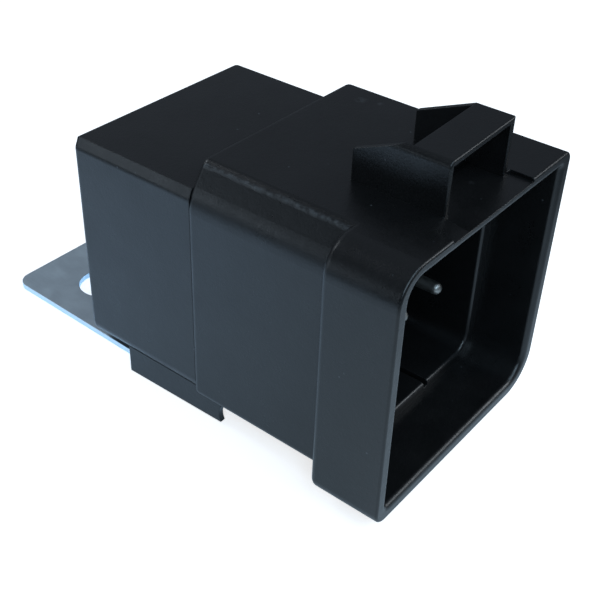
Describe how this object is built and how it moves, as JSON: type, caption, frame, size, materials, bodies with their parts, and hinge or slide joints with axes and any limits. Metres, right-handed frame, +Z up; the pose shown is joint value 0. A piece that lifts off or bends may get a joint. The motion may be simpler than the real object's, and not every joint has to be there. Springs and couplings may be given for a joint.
{
  "type": "plug-in relay",
  "caption": "Sealed plug-in change-over relay: skirted black housing with latch bridge and round pins, rear can, slide-on steel bracket.",
  "frame": {"origin": "centre of the bracket's bolt hole, on the bracket's underside", "axes": "+X to the right seen from the plug side, +Y from the plug mouth to the bracket's tab, +Z up away from the bracket"},
  "size_m": [0.034, 0.066, 0.0416],
  "materials": {
    "body_plastic": "fine moulded grain, satin black",
    "cover_plastic": "fine moulded grain, satin black",
    "zinc_steel": "zinc plated, pale blue passivation, satin",
    "header_plastic": "black moulded",
    "resin": "poured black resin",
    "bobbin_plastic": "natural moulded nylon",
    "enamelled_copper": "enamelled copper wire",
    "soft_iron": "nickel-plated soft iron",
    "spring_bronze": "rolled spring bronze",
    "rivet_steel": "staked steel",
    "silver_contact": "silver alloy",
    "strip_brass": "stamped brass",
    "copper_braid": "woven copper",
    "spring_steel": "drawn wire",
    "resistor_ceramic": "dipped ceramic",
    "tinned_pin": "tin plated"
  },
  "bodies": {
    "relay_body": {"housing": "body_plastic", "rear_cover": "cover_plastic", "mounting_bracket": "zinc_steel", "terminal_header": "header_plastic", "sealing_resin": "resin", "coil_bobbin": "bobbin_plastic", "coil_winding": "enamelled_copper", "iron_core": "soft_iron", "yoke": "soft_iron", "open_contact": "silver_contact", "closed_contact": "silver_contact", "open_contact_strip": "strip_brass", "closed_contact_strip": "strip_brass", "common_strip": "strip_brass", "shunt_braid": "copper_braid", "return_spring": "spring_steel", "coil_lead_a": "enamelled_copper", "coil_lead_b": "enamelled_copper", "coil_resistor": "resistor_ceramic", "terminal_85": "tinned_pin", "terminal_86": "tinned_pin", "terminal_30": "tinned_pin", "terminal_87": "tinned_pin", "terminal_87a": "tinned_pin"},
    "armature_assembly": {"armature": "soft_iron", "contact_spring": "spring_bronze", "spring_rivets": "rivet_steel", "moving_contact": "silver_contact"}
  },
  "joints": [
    {"name": "armature_swing", "type": "hinge", "parent": "relay_body", "child": "armature_assembly", "pos_m": [0.0053, -0.0143, 0.0079], "axis": [1, 0, 0], "range_deg": [0, 2.6], "stiffness_Nm_per_rad": 0.05, "springref_deg": -5}
  ]
}
